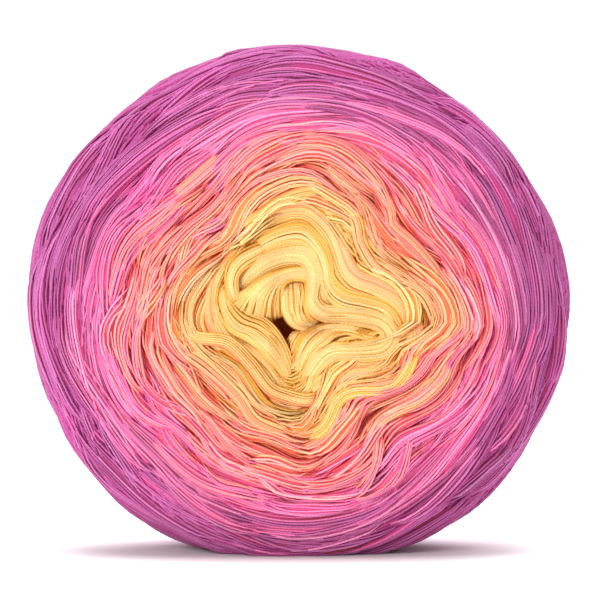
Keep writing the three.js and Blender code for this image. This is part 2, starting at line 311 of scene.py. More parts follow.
# The dye runs from yellow at the core to orchid at the rim. One strand of four changes at a time.
# The same table also holds the painted light and shade laid over the dye.
dyeAndShade = {
    # butter, peach, coral, pink and orchid, as painted light on top of a lock and painted shade deep in it,
    # where light comes only off other yarn
    "lights": ["#E9C990", "#F3BD94", "#F9A6A0", "#EC8CB6", "#C26EA8"],
    "shadeTones": ["#E8A212", "#EE7234", "#F84E58", "#DE4A90", "#9E2C70"],
    "flankShade": 0.85,  # painted shade: how much deeper a strand's flanks are coloured than its crown
    "changes": [(0.32, 0.36, 0.39, 0.43), (0.44, 0.48, 0.51, 0.55), (0.58, 0.63, 0.67, 0.71),
                (0.75, 0.79, 0.82, 0.86)],
    "fade": 0.025,  # how gently one strand goes from a dye to the next, as a share
    "blend": 0.25,  # how far a drawn strand, wider than a real one, takes on the mean of the four
    "unevenness": 0.07,
    "paintedShadeSpread": 0.2,  # painted shade: how much darker than its neighbours a strand may be coloured, as if it lay lower
    "litOnTopShare": 0.12,  # strands that lie a little higher and are painted paler: a painted highlight on top
    "mixing": 0.03,  # how far a lock strays from its place in the run of dyes, as a share
}
litDyes = np.array([linearFrom(h) for h in dyeAndShade["lights"]])
shadedDyes = np.array([linearFrom(h) for h in dyeAndShade["shadeTones"]])


# a dye with painted shade mixed in by how deep a strand lies
def dyeWithShade(share, low, strandNumber):
    low = np.broadcast_to(low, share.shape)[..., None]
    dyeColours = [light + (deep - light) * low for light, deep in zip(litDyes, shadedDyes)]
    colour = dyeColours[0]
    for step, changes in enumerate(dyeAndShade["changes"]):
        t = smooth((share - changes[strandNumber % 4]) / dyeAndShade["fade"] + 0.5)[..., None]
        colour = colour * (1 - t) + dyeColours[step + 1] * t
    return colour


# "low" runs from 0 on top of a lock to 1 deep in it: painted shade, from the lit tone to the shaded one
def meanDyeWithShade(share, low):
    return sum(dyeWithShade(share, low, k) for k in range(4)) / 4


# the colours of a strand along its crown and its two flanks, the flanks in deeper painted shade
def dyeWithShadeAt(share, low, strandNumber):
    tones = []
    for depth in (low, low + dyeAndShade["flankShade"], low + dyeAndShade["flankShade"]):
        own = dyeWithShade(share, np.minimum(depth, 1.0), strandNumber)
        tones.append(own + (meanDyeWithShade(share, np.minimum(depth, 1.0)) - own) * dyeAndShade["blend"])
    return np.stack(tones, axis=1)


def shareOf(level):
    turns = np.where(level <= rimTurns, level, 2 * rimTurns - level)
    return np.interp(turns * halfWidth, sectionAlong, sectionShare)


strand = {
    "radius": 0.42,  # mm: four of them lie side by side as one yarn
    "section": (0, 98, 262),  # degrees: a crown and two low flanks, open to the light
    "tip": 0.3, "taper": 0.4,  # how thick its first ring is, and how fast it grows from ring to ring
}


class Winding:
    def __init__(self, name, sides, flatSides, girth):
        self.name = name
        self.sides = sides
        self.flatSides = flatSides  # these look down into the cake and are shaded flat
        self.girth = girth
        self.tubes = []

    def add(self, rings, colours):
        rings[..., 2] = np.maximum(rings[..., 2], 0.0)  # nothing sinks into the floor
        self.tubes.append((rings, np.broadcast_to(colours, rings.shape)))

    def triangles(self):
        return sum(2 * self.sides * (len(rings) - 1) + 2 * (self.sides - 2) for rings, colours in self.tubes)


def strandWinding(name):
    return Winding(name, len(strand["section"]), (1,), 2 * math.pi * strand["radius"])


def addStrand(winding, points, normals, colours, radius):
    points = points.copy()
    points[:, 2] = np.maximum(points[:, 2], radius)
    tangent = unit(np.gradient(points, axis=0))
    side = unit(np.cross(tangent, normals))
    up = np.cross(side, tangent)
    fromEnd = np.minimum(np.arange(len(points)), np.arange(len(points))[::-1])
    thick = (radius * np.minimum(1.0, strand["tip"] + fromEnd * strand["taper"]))[:, None]
    turns = [math.radians(a) for a in strand["section"]]
    rings = np.stack([points + (up * math.cos(a) + side * math.sin(a)) * thick for a in turns], axis=1)
    winding.add(rings, colours)


def layStrand(winding, level, angle, height, colour, radius):
    points, normals = sample(grid, level, angle), unit(sample(gridNormal, level, angle))
    addStrand(winding, points + normals * height[:, None], normals, colour, radius)


def wander(t, size, waves):
    total = np.zeros_like(t)
    for wave in range(1, waves + 1):
        total += rng.normal() * np.sin(2 * np.pi * (wave * t * 0.5 + rng.random())) / wave
    return total * size


# Each lock is packed full: a lens-shaped body lies close under its top strands
padding = {
    "across": (-0.92, -0.48, 0.0, 0.48, 0.92),  # its points, in half widths of the lock
    "drop": 0.15, "depth": 1.6,  # mm
    "low": 0.85, "through": 0.12,  # its painted shade, and the strength of its painted glow, which stands for light sinking through to it
}


def padWinding(name, width):
    sides = len(padding["across"]) + 1
    return Winding(name, sides, (sides - 2, sides - 1), 2 * width)


# Ripples that neighbouring locks share: waves in a turn, shift per level, phase in degrees, height in mm
ripples = [(5, 3.0, 20, 0.9), (8, -5.0, 130, 0.55), (13, 8.0, 250, 0.3)]
rippled = {"from": 0.3, "grows": 0.12, "to": 0.85, "fades": 0.15}  # the levels where they show


def ripple(level, angle):
    total = sum(height * np.sin(np.radians(count * angle + phase) + shift * level)
                for count, shift, phase, height in ripples)
    shown = smooth((level - rippled["from"]) / rippled["grows"])
    shown = shown * smooth((rippled["to"] - level) / rippled["fades"])
    return total * shown / halfWidth


# A lock is a flat bundle of strands that rises out of the winding, runs a way and dives in again
bundle = {
    "stagger": 0.14, "slope": 0.2,  # how far apart its strands end and how long they dive, as shares of it
    "hidden": -1.0,  # mm: the height of a strand's ends, under the turns beside it
    "endWidth": 0.45, "swelling": 0.65, "bluntness": 0.8, "spread": (0.6, 1.3),
    "scatter": 0.3, "edge": 1.1,  # how unevenly strands lie side by side, and how far out a stray one may
    "rising": 0.05, "unevenHeight": 0.06,  # mm
    "ownPlace": 0.4,  # how far a strand's dye follows the place under it, and not its lock's
    # painted light and shade: the base depth of colour, lighter on a lock's hump and on a higher lock
    "low": 0.72, "paintedLightOnHump": 0.75, "paintedLightByHeight": 0.2,
    "litPaler": 0.75, "litLift": 0.25, "thick": (0.85, 1.1),
    "leastPoints": 7, "leastStrands": 4, "leastRadius": 6.0, "leastPerLevel": 20.0,
}
levelMargin = 0.02  # strands keep off the two poles of the grid


def riseOf(t, fromStart, fromEnd):
    return smooth((t - fromStart) / bundle["slope"]) * smooth((1 - fromEnd - t) / bundle["slope"])


def onGrid(level):
    return np.clip(level, levelMargin, 2 * rimTurns - levelMargin)


def layLock(winding, pads, level, start, span, lock, lean, height):
    levelShare = float(shareOf(np.array([level]))[0])
    length = math.radians(abs(span)) * max(bundle["leastRadius"], levelShare * halfWidth)
    points = max(bundle["leastPoints"], int(length / lock["step"]))
    t = np.linspace(0, 1, points)
    angle = start + span * t
    centre = level + lean * (t - 0.5) + wander(t, lock["wave"] / halfWidth, 3)
    centre = centre + ripple(centre, angle)
    swelling = bundle["swelling"] * np.sin(np.pi * t) ** bundle["bluntness"]
    width = lock["width"] * (bundle["endWidth"] + swelling) * rng.uniform(*bundle["spread"])
    padRise = riseOf(t, bundle["stagger"], bundle["stagger"])
    first = rng.integers(4)
    shift = rng.normal() * dyeAndShade["mixing"]
    tint = 1 + rng.normal() * dyeAndShade["unevenness"]
    crown = lock["crown"] * rng.uniform(*bundle["spread"])
    count = max(bundle["leastStrands"], int(np.mean(width) / lock["pitch"]))
    metric = sample(mmPerLevel, np.clip(centre, 0, 2 * rimTurns), angle)
    metric = np.maximum(metric, bundle["leastPerLevel"])  # where the grid is dense a lock would fan out
    rows = []
    for v in (*padding["across"], 0.0):
        own = onGrid(centre + v * width / 2 / metric)
        rise = (height + crown * math.sqrt(1 - v * v) - bundle["hidden"]) * padRise
        up = bundle["hidden"] + rise - padding["drop"]
        up = up - (padding["depth"] if len(rows) == len(padding["across"]) else 0.0)
        rows.append(sample(grid, own, angle) + sample(gridNormal, own, angle) * up[:, None])
    pads.add(np.stack(rows, axis=1), meanDyeWithShade(np.full((points, 1), levelShare + shift), padding["low"]))
    for j in range(count):
        v = 2 * (j + 0.5) / count - 1 + rng.normal() * bundle["scatter"] / count
        v = np.clip(v + wander(t, lock["loose"], 4), -bundle["edge"], bundle["edge"])
        own = centre + v * width / 2 / metric
        hump = np.sqrt(np.clip(1 - v * v, 0, 1))
        ownRise = riseOf(t, rng.uniform(0, bundle["stagger"]), rng.uniform(0, bundle["stagger"]))
        up = bundle["hidden"] + (height + crown * hump - bundle["hidden"]) * ownRise
        up = up + wander(t, bundle["rising"], 5) + rng.normal() * bundle["unevenHeight"]
        share = bundle["ownPlace"] * shareOf(np.clip(own, 0, 2 * rimTurns))
        share = share + (1 - bundle["ownPlace"]) * (levelShare + v * width / 2 / halfWidth)
        # painted light on a lock's crown, painted shade where it lies low or dives
        low = bundle["low"] - bundle["paintedLightOnHump"] * hump * ownRise - bundle["paintedLightByHeight"] * height
        low = np.clip(low + abs(rng.normal()) * dyeAndShade["paintedShadeSpread"], 0, 1)
        colour = dyeWithShadeAt(share + shift, low, int(first + j)) * tint * (1 + rng.normal() * dyeAndShade["unevenness"])
        # a few strands lie higher and are painted paler on top: a painted highlight
        if rng.random() < dyeAndShade["litOnTopShare"]:
            colour, up = colour ** bundle["litPaler"], up + bundle["litLift"] * ownRise
        layStrand(winding, onGrid(own), angle, up, colour, strand["radius"] * rng.uniform(*bundle["thick"]))


# Leans go in patches: waves in a turn, and how fast they shift from level to level and layer to layer
leaning = {"waves": 3, "byLevel": 9, "byLayer": 2}


# Locks side by side in rings, each ring's locks laid end over end
def layRings(winding, pads, settings, isBack=False):
    lock = settings["lock"]
    for number in range(lock["layers"]):
        level = settings["from"] + rng.uniform(0, 0.5) * lock["width"] / halfWidth
        while level < settings["to"]:
            angle = rng.uniform(0, 360)
            last = angle + 360
            while angle < last:
                length = rng.uniform(*lock["length"])
                span = math.degrees(length / (max(level, 0.1) * halfWidth))
                turned = math.radians(leaning["waves"] * angle)
                patch = math.sin(turned + leaning["byLevel"] * level + leaning["byLayer"] * number)
                lean = (patch * lock["lean"] + rng.normal() * lock["leanSpread"]) / halfWidth
                place = 2 * rimTurns - level if isBack else level
                layLock(winding, pads, place, angle, span, lock, lean, rng.uniform(*lock["height"]))
                angle += span * lock["overlap"]
            level += lock["width"] * lock["spacing"] / halfWidth


def addPiece(mesh, tones, material):
    # the per-point colour: the dye with its painted light and shade
    attribute = mesh.color_attributes.new("dyeAndShade", "FLOAT_COLOR", "POINT")
    withAlpha = np.concatenate([tones, np.ones((len(tones), 1))], axis=1)
    attribute.data.foreach_set("color", withAlpha.astype(np.float32).ravel())
    mesh.validate()
    mesh.materials.append(material)
    piece = bpy.data.objects.new(mesh.name, mesh)
    bpy.context.scene.collection.objects.link(piece)
    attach(piece, "root")
    return piece


# In the map that is baked the tubes lie end over end as straight strips, row on row: "slack" makes a row a
# little too long, "used" is the part of it that is taken, "gap" and "filled" are shares of its height
strips = {"slack": 1.02, "used": 0.96, "gap": 0.08, "filled": 0.84, "fewestRows": 8}


def buildWinding(winding, material):
    sides = winding.sides
    vertices, colours, faces, bakeUv, lengthUv, rounded = [], [], [], [], [], []
    capFaces, capBakeUv, capLengthUv = [], [], []
    lengths = [np.linalg.norm(np.diff(rings[:, 0], axis=0), axis=1) for rings, tones in winding.tubes]
    total = float(sum(part.sum() for part in lengths))
    rowCount = max(strips["fewestRows"], int(math.sqrt(total / winding.girth)))
    rowLength = total / rowCount * strips["slack"]
    offset, travelled = 0, 0.0
    for (rings, tones), steps in zip(winding.tubes, lengths):
        n = len(rings)
        vertices.append(rings.reshape(-1, 3))
        colours.append(tones.reshape(-1, 3))
        i = np.arange(n - 1)
        s = np.concatenate([[0.0], np.cumsum(steps)])
        twistFrom = rng.uniform(0, 10)
        near, far = s[:-1] + twistFrom, s[1:] + twistFrom
        row = np.floor((travelled + s[:-1]) / rowLength)
        u0 = ((travelled + s[:-1]) / rowLength - row) * strips["used"]
        u1 = ((travelled + s[1:]) / rowLength - row) * strips["used"]
        for k in range(sides):
            after = (k + 1) % sides
            corners = (i * sides + k, i * sides + after, (i + 1) * sides + after, (i + 1) * sides + k)
            faces.append(offset + np.stack(corners, axis=1))
            rounded.append(np.full(n - 1, k not in winding.flatSides))
            v0 = (row + strips["gap"] + strips["filled"] * k / sides) / (rowCount + 1)
            v1 = (row + strips["gap"] + strips["filled"] * (k + 1) / sides) / (rowCount + 1)
            bakeUv.append(np.stack([u0, v0, u0, v1, u1, v1, u1, v0], axis=1))
            a0, a1 = np.full(n - 1, k / sides), np.full(n - 1, (k + 1) / sides)
            lengthUv.append(np.stack([near, a0, near, a1, far, a1, far, a0], axis=1))
        last = offset + (n - 1) * sides
        for k in range(1, sides - 1):
            capFaces += [[offset + k + 1, offset + k, offset], [last, last + k, last + k + 1]]
            capBakeUv += [[u0[0], (row[0] + 0.5) / (rowCount + 1)] * 3,
                          [u1[-1], (row[-1] + 0.5) / (rowCount + 1)] * 3]
            capLengthUv += [[near[0], 0.0] * 3, [far[-1], 0.0] * 3]
        travelled += s[-1]
        offset += n * sides
    quads, caps = np.concatenate(faces), np.array(capFaces)
    mesh = bpy.data.meshes.new(winding.name)
    vertices = np.concatenate(vertices) * mm
    mesh.vertices.add(len(vertices))
    mesh.vertices.foreach_set("co", vertices.astype(np.float32).ravel())
    mesh.loops.add(quads.size + caps.size)
    mesh.loops.foreach_set("vertex_index", np.concatenate([quads.ravel(), caps.ravel()]).astype(np.int32))
    starts = np.concatenate([np.arange(len(quads)) * 4, quads.size + np.arange(len(caps)) * 3])
    mesh.polygons.add(len(starts))
    mesh.polygons.foreach_set("loop_start", starts.astype(np.int32))
    mesh.polygons.foreach_set("use_smooth", np.concatenate(rounded + [np.zeros(len(caps), dtype=bool)]))
    mesh.update(calc_edges=True)
    for name, tubeParts, capParts in (("OFBake", bakeUv, capBakeUv), ("alongStrand", lengthUv, capLengthUv)):
        layer = mesh.uv_layers.new(name=name)
        flat = np.concatenate([np.concatenate(tubeParts).ravel(), np.array(capParts).ravel()])
        layer.data.foreach_set("uv", flat.astype(np.float32))
    addPiece(mesh, np.concatenate(colours), material)
    print("winding:", winding.name, len(winding.tubes), "tubes", winding.triangles(), "triangles")


def addNode(tree, kind, settings=None, inputs=None):
    node = tree.nodes.new(kind)
    for key, value in (settings or {}).items():
        setattr(node, key, value)
    for key, value in (inputs or {}).items():
        if isinstance(value, bpy.types.NodeSocket):
            tree.links.new(value, node.inputs[key])
        else:
            node.inputs[key].default_value = value
    return node


# Cotton and acrylic spun fine and laid four together: a smooth matt strand with a low sheen, so the
# eye gets soft lights along the crowns and no hard highlight
strandLook = {
    "roughness": 0.8, "sheen": 0.04, "rimSheen": 0.12, "sheenRoughness": 0.45, "ior": 1.46, "specular": 0.08,
    "twistPitch": 1.1,  # mm: the real twist is near 0.7, drawn coarser so that it shows
    # painted shade in the twist's grooves, laid over its bump
    "twistGrooveShade": (0.92, 1.032),
    "patchSize": 14.0, "patchShade": (0.94, 1.06),
    "fibreSize": 0.5, "fibreShade": (0.88, 1.08),
    "bump": 0.35, "bumpHeight": 0.08,  # sizes and the height in mm
}
noiseSpan = (0.3, 0.7)  # nearly all of a noise lies in it


def startMaterial(name, values):
    material = bpy.data.materials.new(name)
    material.use_nodes = True
    shader = material.node_tree.nodes["Principled BSDF"]
    for key, value in values.items():
        shader.inputs[key].default_value = value
    return material, material.node_tree, shader


def addNoise(tree, size, detail):
    place = addNode(tree, "ShaderNodeTexCoord")
    return addNode(tree, "ShaderNodeTexNoise", inputs={
        "Vector": place.outputs["Object"], "Scale": 1 / (size * mm), "Detail": detail})


def addRange(tree, value, fromSpan, toSpan):
    return addNode(tree, "ShaderNodeMapRange", inputs={
        "Value": value, "From Min": fromSpan[0], "From Max": fromSpan[1],
        "To Min": toSpan[0], "To Max": toSpan[1]})


def shadedDye(tree, shade):
    dyed = addNode(tree, "ShaderNodeAttribute", {"attribute_name": "dyeAndShade"})
    return addNode(tree, "ShaderNodeVectorMath", {"operation": "SCALE"},
                   {0: dyed.outputs["Color"], "Scale": shade.outputs[0]})


def strandYarn(name, sheen):
    material, tree, shader = startMaterial(name, {
        "Roughness": strandLook["roughness"], "IOR": strandLook["ior"],
        "Specular IOR Level": strandLook["specular"],
        "Sheen Weight": sheen, "Sheen Roughness": strandLook["sheenRoughness"]})
    patches = addNoise(tree, strandLook["patchSize"], 2.0)
    fibres = addNoise(tree, strandLook["fibreSize"], 2.0)
    lengthMap = addNode(tree, "ShaderNodeUVMap", {"uv_map": "alongStrand"})
    split = addNode(tree, "ShaderNodeSeparateXYZ", inputs={"Vector": lengthMap.outputs["UV"]})
    twist = addNode(tree, "ShaderNodeMath", {"operation": "MULTIPLY_ADD"},
                    {0: split.outputs["X"], 1: 1 / strandLook["twistPitch"], 2: split.outputs["Y"]})
    angle = addNode(tree, "ShaderNodeMath", {"operation": "MULTIPLY"}, {0: twist.outputs[0], 1: 2 * math.pi})
    wave = addNode(tree, "ShaderNodeMath", {"operation": "SINE"}, {0: angle.outputs[0]})
    twistGrooveShade = addRange(tree, wave.outputs[0], (-1.0, 1.0), strandLook["twistGrooveShade"])
    patchShade = addRange(tree, patches.outputs["Fac"], noiseSpan, strandLook["patchShade"])
    fibreShade = addRange(tree, fibres.outputs["Fac"], noiseSpan, strandLook["fibreShade"])
    twistAndPatch = addNode(tree, "ShaderNodeMath", {"operation": "MULTIPLY"},
                            {0: twistGrooveShade.outputs[0], 1: patchShade.outputs[0]})
    shade = addNode(tree, "ShaderNodeMath", {"operation": "MULTIPLY"},
                    {0: twistAndPatch.outputs[0], 1: fibreShade.outputs[0]})
    tree.links.new(shadedDye(tree, shade).outputs[0], shader.inputs["Base Color"])
    height = addNode(tree, "ShaderNodeMath", {"operation": "ADD"},
                     {0: wave.outputs[0], 1: fibres.outputs["Fac"]})
    bump = addNode(tree, "ShaderNodeBump", inputs={
        "Strength": strandLook["bump"], "Distance": strandLook["bumpHeight"] * mm,
        "Height": height.outputs[0]})
    tree.links.new(bump.outputs[0], shader.inputs["Normal"])
    return material


# The same yarn packed under the top strands: rough, and deep in colour as painted shade, as only gaps show
# it.
# Daylight sinks through the fine strands above and comes out red, so the gaps stay warm: a weak glow, painted
# light, stands for it.
packedFinish = {
    "roughness": 0.85, "specular": 0.05, "grainSize": 1.2, "glow": "#F47448",
    "stripes": 11, "stripeEdge": (0.0, 0.35), "stripeGrooveShade": (0.75, 1.0), "bump": 0.8, "bumpHeight": 0.3,
}


def packedYarn(name, through):
    material, tree, shader = startMaterial(name, {
        "Roughness": packedFinish["roughness"], "Specular IOR Level": packedFinish["specular"],
        "Emission Color": (*linearFrom(packedFinish["glow"]), 1), "Emission Strength": through})
    grain = addNoise(tree, packedFinish["grainSize"], 3.0)
    lengthMap = addNode(tree, "ShaderNodeUVMap", {"uv_map": "alongStrand"})
    split = addNode(tree, "ShaderNodeSeparateXYZ", inputs={"Vector": lengthMap.outputs["UV"]})
    sway = addNode(tree, "ShaderNodeMath", {"operation": "MULTIPLY_ADD"},
                   {0: split.outputs["Y"], 1: packedFinish["stripes"], 2: grain.outputs["Fac"]})
    stripe = addNode(tree, "ShaderNodeMath", {"operation": "PINGPONG"}, {0: sway.outputs[0], 1: 0.5})
    # painted shade in the grooves between the packed strands, laid over their bump
    shade = addRange(tree, stripe.outputs[0], packedFinish["stripeEdge"], packedFinish["stripeGrooveShade"])
    tree.links.new(shadedDye(tree, shade).outputs[0], shader.inputs["Base Color"])
    bump = addNode(tree, "ShaderNodeBump", inputs={
        "Strength": packedFinish["bump"], "Distance": packedFinish["bumpHeight"] * mm,
        "Height": stripe.outputs[0]})
    tree.links.new(bump.outputs[0], shader.inputs["Normal"])
    return material


bed = {
    "inset": 0.5, "rimInset": 1.0, "offFloor": 0.3,  # mm
    "rimFrom": 0.25, "rimGrows": 0.2,  # where the inset grows to the rim's, in shares of the way to the poles
    "levelStep": 5, "angleStep": 6, "low": 0.85, "through": 0.01,
}


# The bed of packed turns, just under the top strands, coloured in painted shade with a faint painted glow
def makeBed(material):
    rows = np.arange(0, gridLevels, bed["levelStep"])
    columns = np.arange(0, gridAngles, bed["angleStep"])
    fromPole = 1 - np.abs(levelsOfGrid - rimTurns) / rimTurns
    toRim = smooth((fromPole - bed["rimFrom"]) / bed["rimGrows"])[:, None, None]
    inset = bed["inset"] + (bed["rimInset"] - bed["inset"]) * toRim
    points = (grid - gridNormal * inset)[np.ix_(rows, columns)]
    points[..., 2] = np.maximum(points[..., 2], bed["offFloor"])
    points[0] = points[0].mean(axis=0)
    points[-1] = points[-1].mean(axis=0)
    rowTotal, columnTotal = len(rows), len(columns)
    vertices = np.concatenate([points[:1, 0], points[1:-1].reshape(-1, 3), points[-1:, 0]]) * mm
    index = 1 + np.arange((rowTotal - 2) * columnTotal).reshape(rowTotal - 2, columnTotal)
    after = np.roll(index, -1, axis=1)
    last = len(vertices) - 1
    faces = [(0, int(b), int(a)) for a, b in zip(index[0], after[0])]
    quads = np.stack([index[:-1], after[:-1], after[1:], index[1:]], axis=-1).reshape(-1, 4)
    faces += [tuple(map(int, q)) for q in quads]
    faces += [(last, int(a), int(b)) for a, b in zip(index[-1], after[-1])]
    mesh = bpy.data.meshes.new("packed_turns")
    mesh.from_pydata(vertices.tolist(), [], faces)
    shares = np.concatenate([[0.0], np.repeat(shareOf(levelsOfGrid[rows[1:-1]]), columnTotal), [0.0]])
    mesh.polygons.foreach_set("use_smooth", np.ones(len(mesh.polygons), dtype=bool))
    piece = addPiece(mesh, meanDyeWithShade(shares, bed["low"]), material)
    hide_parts("wound_yarn")
    print("bed:", len(faces), "faces")


yarnLook = strandYarn("cotton acrylic strand", strandLook["sheen"])
rimLook = strandYarn("cotton acrylic strand near the rim", strandLook["rimSheen"])  # rubbed to a soft bloom
packedLook = packedYarn("turns packed in a lock", padding["through"])
makeBed(packedYarn("turns packed under the locks", bed["through"]))

